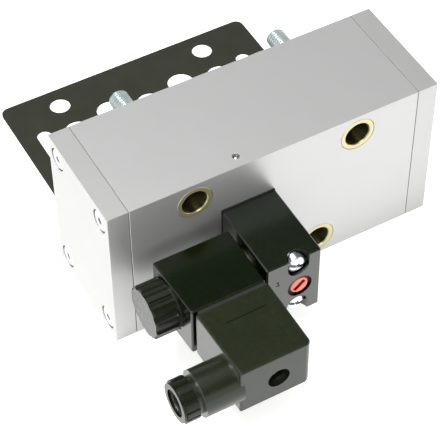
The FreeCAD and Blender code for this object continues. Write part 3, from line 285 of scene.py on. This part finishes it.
looks = {
    "body_aluminium": aluminium("body_aluminium", (0.53, 0.53, 0.528), grain=(0.06, 1, 1)),
    "plate_aluminium": aluminium("plate_aluminium", (0.51, 0.51, 0.50), grain=(1, 1, 0.08)),
    "flat_gasket_rubber": rubber("flat_gasket_rubber", (0.013, 0.015, 0.007)),
    "seal_rubber": rubber("seal_rubber", (0.012, 0.012, 0.010)),
    "zinc_steel": bolt_zinc("zinc_steel"),
    "screw_steel": metal("screw_steel", (0.74, 0.77, 0.80), 0.30),
    "ring_brass": turned_brass("ring_brass"),
    "pilot_plastic": plastic("pilot_plastic", (0.0015, 0.0048, 0.0001), 0.19, specular=0.95),
    "coil_plastic": plastic("coil_plastic", (0.0016, 0.0045, 0.0001), 0.18),
    "nut_plastic": plastic("nut_plastic", (0.004, 0.006, 0.001), 0.28, specular=0.32, sheen=0.05),
    "connector_plastic": plastic("connector_plastic", (0.010, 0.014, 0.005), 0.24, grain=4500, specular=0.45,
                                 sheen=0.25),
    "insert_plastic": plastic("insert_plastic", (0.05, 0.05, 0.05), 0.45),
    "override_red": knob_red("override_red"),
    "spool_aluminium": metal("spool_aluminium", (0.62, 0.62, 0.63), 0.20),
    "white_plastic": plastic("white_plastic", (0.70, 0.69, 0.64), 0.40, grain=4000),
    "spring_steel": metal("spring_steel", (0.50, 0.50, 0.50), 0.25),
    "stainless_steel": metal("stainless_steel", (0.60, 0.60, 0.58), 0.25),
    "copper_wire": metal("copper_wire", (0.72, 0.33, 0.16), 0.30, stretch=(30, 1, 1)),
    "contact_brass": metal("contact_brass", (0.78, 0.68, 0.45), 0.28),
}
fibre = rubber("gasket_fibre", (0.16, 0.16, 0.15))
# Painted shade: the armature tube, seen in the gap between coil and pilot, is coloured near black.
tube_painted_shade = metal("tube_painted_shade", (0.05, 0.05, 0.045), 0.5)
ink = rubber("print_ink", (0.02, 0.02, 0.02))
OWN_LOOKS = {"left_end_gasket": fibre, "right_end_gasket": fibre, "armature_tube": tube_painted_shade}


def dress_solids():
    """Gives each solid the material of its slot, or the one that it has of its own."""
    for part in record["subparts"]:
        materials = nodes[part["node"]].data.materials
        materials.clear()
        materials.append(OWN_LOOKS.get(part["node"], looks[part["material_slot"]]))


def calculate(tree, operation, *feeds):
    """A math node, fed by sockets or plain numbers."""
    node = tree.nodes.new("ShaderNodeMath")
    node.operation = operation
    for socket, feed in zip(node.inputs, feeds):
        if isinstance(feed, (int, float)):
            socket.default_value = feed
        else:
            tree.links.new(feed, socket)
    return node.outputs[0]


def make_floor():
    """A pale table that keeps the shadow and shows white around the object."""
    mesh = bpy.data.meshes.new("floor")
    edit = bmesh.new()
    bmesh.ops.create_grid(edit, x_segments=2, y_segments=2, size=FLOOR_HALF_SIDE)
    edit.to_mesh(mesh)
    edit.free()
    floor = bpy.data.objects.new("floor", mesh)
    bpy.context.collection.objects.link(floor)
    material = bpy.data.materials.new("floor")
    material.use_nodes = True
    tree = material.node_tree
    main = tree.nodes["Principled BSDF"]
    main.inputs["Base Color"].default_value = (*FLOOR_COLOR, 1)
    main.inputs["Roughness"].default_value = 0.9
    main.inputs["Specular IOR Level"].default_value = 0.1
    main.inputs["Emission Color"].default_value = (*FLOOR_GLOW, 1)
    path = tree.nodes.new("ShaderNodeLightPath").outputs
    mirrored = calculate(tree, "MAXIMUM", path["Is Glossy Ray"], path["Is Transmission Ray"])
    seen = calculate(tree, "MULTIPLY", path["Is Camera Ray"], FLOOR_SEEN)
    level = calculate(tree, "MULTIPLY_ADD", mirrored, FLOOR_MIRRORED, seen)
    tree.links.new(level, main.inputs["Emission Strength"])
    mesh.materials.append(material)


def make_sky():
    """Light walls around the table, a dark band above them and a weaker light overhead."""
    world = bpy.data.worlds.new("world")
    bpy.context.scene.world = world
    world.use_nodes = True
    tree = world.node_tree
    coordinates = tree.nodes.new("ShaderNodeTexCoord")
    split = tree.nodes.new("ShaderNodeSeparateXYZ")
    tree.links.new(coordinates.outputs["Generated"], split.inputs["Vector"])
    ramp = tree.nodes.new("ShaderNodeValToRGB")
    ramp.color_ramp.interpolation = "EASE"
    fill_ramp(ramp, [(rise, (level,) * 3) for rise, level in SKY])
    tree.links.new(split.outputs["Z"], ramp.inputs["Fac"])
    background = tree.nodes["Background"]
    background.inputs["Strength"].default_value = SKY_STRENGTH
    tree.links.new(ramp.outputs["Color"], background.inputs["Color"])


def make_lights():
    """Round soft lamps that all point at the block."""
    for name, place, width, power in LAMPS:
        light = bpy.data.lights.new(name, "AREA")
        light.shape = "DISK"
        light.size = width
        light.energy = power
        lamp = bpy.data.objects.new(name, light)
        lamp.location = place
        aim = Vector(LAMP_AIM) - Vector(place)
        lamp.rotation_euler = aim.to_track_quat("-Z", "Y").to_euler()
        bpy.context.collection.objects.link(lamp)


def make_camera():
    camera = bpy.data.cameras.new("camera")
    camera.lens = CAMERA_LENS
    camera.sensor_width = 36.0
    camera.clip_start = 0.01
    holder = bpy.data.objects.new("camera", camera)
    turn = Euler([math.radians(angle) for angle in CAMERA_TURN]).to_matrix().to_4x4()
    holder.matrix_world = Matrix.Translation(CAMERA_PLACE) @ turn
    bpy.context.collection.objects.link(holder)
    bpy.context.scene.camera = holder


def lathe(edit, profile, place, axis, columns=48, closed=False):
    """A turned form: rings of corners along an axis.

    A radius may be a function of the angle, and a radius of 0 is a point.
    """
    axis = Vector(axis)
    first = Vector((0, 0, 1)) if abs(axis.z) < 0.9 else Vector((1, 0, 0))
    side = first.cross(axis).normalized()
    first = axis.cross(side)
    rings = []
    for along, radius in profile:
        centre = Vector(place) + axis * along
        if radius == 0:
            rings.append([edit.verts.new(centre * MM)])
            continue
        ring = []
        for k in range(columns):
            angle = 2 * math.pi * k / columns
            reach = radius(angle) if callable(radius) else radius
            spoke = first * math.cos(angle) + side * math.sin(angle)
            ring.append(edit.verts.new((centre + spoke * reach) * MM))
        rings.append(ring)
    pairs = list(zip(rings, rings[1:]))
    if closed:
        pairs.append((rings[-1], rings[0]))
    for one, two in pairs:
        for k in range(columns):
            n = (k + 1) % columns
            if len(one) == 1:
                edit.faces.new((one[0], two[k], two[n]))
            elif len(two) == 1:
                edit.faces.new((one[n], one[k], two[0]))
            else:
                edit.faces.new((one[n], one[k], two[k], two[n]))


def hexagon(corner):
    """The reach of a hexagon's side at an angle."""
    def reach(angle):
        return corner * math.cos(math.pi / 6) / math.cos(angle % (math.pi / 3) - math.pi / 6)
    return reach


def hex_socket(corner, depth, point, lead, mouth):
    """Profile rows of a hexagonal socket: its drilled point, its walls and the lead-in to its wider mouth."""
    return [(depth + point, 0), (depth, hexagon(corner)), (lead, hexagon(corner)), (0, hexagon(mouth))]


def thread(root, crest, pitch, start, end, bound=None, steps=8):
    """Profile rows of a screw thread between two places along the axis, within a bound where one is given."""
    rows = []
    count = int(round((end - start) / pitch * steps))
    for i in range(count + 1):
        along = start + (end - start) * i / count
        limit = bound(along) if bound else math.inf

        def reach(angle, along=along, limit=limit):
            turn = (along / pitch - angle / (2 * math.pi)) % 1.0
            rise = min(max((0.5 - abs(turn - 0.5)) * FLANK_SLOPE - FLANK_SUNK, 0), 1)
            return min(root + (crest - root) * rise, limit)
        rows.append((along, reach))
    return rows


def add(name, edit, material, body, replaced=(), angle=SMOOTH_ANGLE):
    """A finished mesh as a piece that rides on a body and may stand for CAD nodes."""
    bmesh.ops.recalc_face_normals(edit, faces=edit.faces)
    mesh = bpy.data.meshes.new(name)
    edit.to_mesh(mesh)
    edit.free()
    mesh.shade_smooth()
    mesh.set_sharp_from_angle(angle=math.radians(angle))
    mesh.materials.append(looks[material] if material in looks else material)
    piece = bpy.data.objects.new(name, mesh)
    bpy.context.collection.objects.link(piece)
    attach(piece, body)
    if replaced:
        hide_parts(*replaced)
    return piece


def carve(piece, cutter):
    """Takes the cutter's volume out of a piece and drops the cutter."""
    mesh = bpy.data.meshes.new("cutter")
    bmesh.ops.recalc_face_normals(cutter, faces=cutter.faces)
    cutter.to_mesh(mesh)
    cutter.free()
    tool = bpy.data.objects.new("cutter", mesh)
    bpy.context.collection.objects.link(tool)
    change = piece.modifiers.new("carve", "BOOLEAN")
    change.operation = "DIFFERENCE"
    change.solver = "EXACT"
    change.object = tool
    bpy.context.view_layer.update()
    carved = bpy.data.meshes.new_from_object(piece.evaluated_get(bpy.context.evaluated_depsgraph_get()))
    piece.modifiers.clear()
    carved.name = piece.name
    piece.data = carved
    carved.shade_smooth()
    carved.set_sharp_from_angle(angle=math.radians(SMOOTH_ANGLE))
    bpy.data.objects.remove(tool)


def block(edit, centre, size, turn=0.0, taper=1.0):
    """A box about a point, turned about Y, that narrows towards +Y by the taper."""
    made = bmesh.ops.create_cube(edit, size=1.0)["verts"]
    spin = Matrix.Rotation(turn, 3, "Y")
    for vert in made:
        scale = taper if vert.co.y > 0 else 1.0
        corner = Vector((vert.co.x * size[0] * scale, vert.co.y * size[1], vert.co.z * size[2] * scale))
        vert.co = (Vector(centre) + spin @ corner) * MM


def wind(edit, low, high, way, wire, turns):
    """A round wire wound along an axis inside a box in millimetres, with flat ends."""
    centre = (low + high) / 2
    length = high[way] - low[way]
    axis = Vector((0, 0, 0))
    axis[way] = 1
    first = Vector((0, 0, 1))
    second = axis.cross(first)
    coil = (high.z - low.z) / 2 - wire
    bends = [2 * math.pi * k / WIRE_SIDES for k in range(WIRE_SIDES)]
    rings = []
    steps = int(turns * STEPS_PER_TURN)
    for i in range(steps + 1):
        angle = 2 * math.pi * turns * i / steps
        spoke = first * math.cos(angle) + second * math.sin(angle)
        middle = centre + spoke * coil
        middle[way] = low[way] + wire + (length - 2 * wire) * i / steps
        edge = [middle + (spoke * math.cos(bend) + axis * math.sin(bend)) * wire for bend in bends]
        rings.append([edit.verts.new(corner * MM) for corner in edge])
    for one, two in zip(rings, rings[1:]):
        for k in range(WIRE_SIDES):
            n = (k + 1) % WIRE_SIDES
            edit.faces.new((one[k], one[n], two[n], two[k]))
    edit.faces.new(rings[0])
    edit.faces.new(rings[-1])


def make_bolts():
    """Captive cap bolts: hex socket, bare waist, and a threaded end that stands behind the block."""
    head, head_length, head_edge = 6.5, 8.0, 0.5
    root, crest, pitch = 3.3, 4.0, 1.25
    waist_end, length, tip = 39.2, 53.0, 2.7

    def chamfer(along):
        return min(crest, tip + 0.2 + (length - along) * 1.1)
    rows = hex_socket(corner=3.46, depth=4.0, point=0.6, lead=0.25, mouth=3.7)
    rows += [(0, head - head_edge), (head_edge, head), (head_length, head),
             (head_length, root + 0.3), (head_length + 0.3, root), (waist_end, root)]
    rows += thread(root, crest, pitch, waist_end + 0.4, length - 0.2, chamfer)
    rows += [(length, tip), (length, 0)]
    edit = bmesh.new()
    for across, height in BOLTS:
        lathe(edit, rows, (across, BOLT_HEAD_FACE, height), (0, 1, 0))
    add("threaded_bolts", edit, "zinc_steel", "valve", ["mounting_bolts"])


def make_rings():
    """Turned retaining rings, screwed in flush with the block's front."""
    outer, edge, length = 7.4, 0.3, 8.0
    bore, crest, pitch = 5.2, 4.9, 1.0
    thread_end = 0.6
    rows = [(0.35, bore + 0.05), (0, bore + 0.3), (0, outer - edge), (edge, outer),
            (length, outer), (length, bore + 0.1)]
    inner = thread(bore, crest, pitch, thread_end, length - thread_end)
    rows += [(length - along, radius) for along, radius in inner]
    edit = bmesh.new()
    for across, height in BOLTS:
        lathe(edit, rows, (across, BLOCK_FRONT, height), (0, 1, 0), closed=True)
    add("turned_rings", edit, "ring_brass", "valve", ["bolt_retaining_rings"])


def make_plate_screws():
    """Socket screws of the end plates, sunk just below the face."""
    head, head_length = 4.3, 5.0
    root, crest, pitch = 2.1, 2.5, 0.8
    thread_start, length = 13.0, 21.0
    rows = hex_socket(corner=1.75, depth=2.0, point=0.4, lead=0.15, mouth=1.9)
    rows += [(0, head - 0.6), (0.2, head - 0.2), (0.6, head), (head_length, head), (head_length, crest)]
    rows += thread(root, crest, pitch, thread_start, length - 0.4)
    rows += [(length, root - 0.2), (length, 0)]
    for side, name in ((-1, "left"), (1, "right")):
        edit = bmesh.new()
        for across, height in PLATE_SCREWS:
            lathe(edit, rows, (side * PLATE_SCREW_FACE, across, height), (-side, 0, 0))
        add(name + "_plate_screws_cut", edit, "screw_steel", "valve", [name + "_plate_screws"])


def make_pilot_screws():
    """Round-headed screws with a slot and a short cross, deep in their recesses."""
    head, dome_top, dome_rise, dome_steps = 3.8, -4.6, 1.5, 8
    root, crest, pitch = 1.6, 2.0, 0.7
    thread_start, length = 28.0, 36.9
    slot_top, slot_turn = PILOT_FRONT + 0.1, math.radians(20)
    quarter = [math.pi / 2 * k / dome_steps for k in range(dome_steps + 1)]
    rows = [(dome_top + dome_rise * (1 - math.cos(a)), head * math.sin(a)) for a in quarter]
    rows += [(-0.2, head), (0, head - 0.2), (0, crest)]
    rows += thread(root, crest, pitch, thread_start, length - 0.4)
    rows += [(length, root - 0.1), (length, 0)]
    edit = bmesh.new()
    for across, height in PILOT_SCREWS:
        lathe(edit, rows, (across, PILOT_SCREW_SEAT, height), (0, 1, 0))
    screws = add("pilot_screws_domed", edit, "screw_steel", "valve", ["pilot_screws"])
    for size, taper in (((8.4, 3.2, 1.3), 1.0), ((0.8, 1.4, 3.0), 0.6)):
        tools = bmesh.new()
        for across, height in PILOT_SCREWS:
            block(tools, (across, slot_top + size[1] / 2, height), size, slot_turn, taper)
        carve(screws, tools)


def make_knob():
    """The override button with its deep screwdriver slot, the groove of its seal and the hole of its stem."""
    radius, length, columns = 4.1, 5.0, 64
    groove, groove_start, groove_end = 3.3, 1.85, 3.15
    stem, stem_top = 2.05, 2.6
    slot_size, slot_turn = (5.7, 1.5, 2.0), math.radians(-40)
    rows = [(0, 0), (0, radius - 0.7), (0.15, radius - 0.5), (0.6, radius),
            (groove_start, radius), (groove_start, groove), (groove_end, groove), (groove_end, radius),
            (length, radius), (length, stem), (stem_top, stem), (stem_top, 0)]
    edit = bmesh.new()
    lathe(edit, rows, (KNOB[0], KNOB_FACE, KNOB[1]), (0, 1, 0), columns)
    knob = add("override_knob_moulded", edit, "override_red", "override_button", ["override_knob"])
    tools = bmesh.new()
    block(tools, (KNOB[0], KNOB_FACE + 0.55, KNOB[1]), slot_size, slot_turn, 0.9)
    carve(knob, tools)


def make_springs():
    """Wound wire springs, one in the box of each CAD spring that a joint deforms."""
    for joint in record["behaviour"]["joints"]:
        for soft in joint.get("deforming_nodes", []):
            node = soft["node"]
            letter = soft["mode"][-1]
            way = "xyz".index(letter)
            low, high = [Vector(corner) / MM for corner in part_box(node)]
            edit = bmesh.new()
            wind(edit, low, high, way, *SPRING_WIRES[node])
            piece = add(node + "_wound", edit, "spring_steel", "valve", [node], 40)
            axis = Vector((0, 0, 0))
            axis[way] = 1
            anchor = (low + high) / 2
            anchor[way] = soft["fixed_end_%s_m" % letter] / MM
            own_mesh(piece)


def make_mark():
    """A small printed 1 beside the knob."""
    across, height = MARK
    depth, sunk = 0.06, 0.01
    stroke, flag, foot = (0, 0, 0.45, 2.2), (-0.4, 0.75, 0.8, 0.4), (0, -1.0, 1.5, 0.4)
    edit = bmesh.new()
    for dx, dz, width, rise in (stroke, flag, foot):
        block(edit, (across + dx, PILOT_FRONT - sunk, height + dz), (width, depth, rise))
    add("position_mark", edit, ink, "valve")


dress_solids()
make_floor()
make_sky()
make_lights()
make_camera()
make_bolts()
make_rings()
make_plate_screws()
make_pilot_screws()
make_knob()
make_springs()
make_mark()
bpy.context.scene.view_settings.view_transform = "Standard"
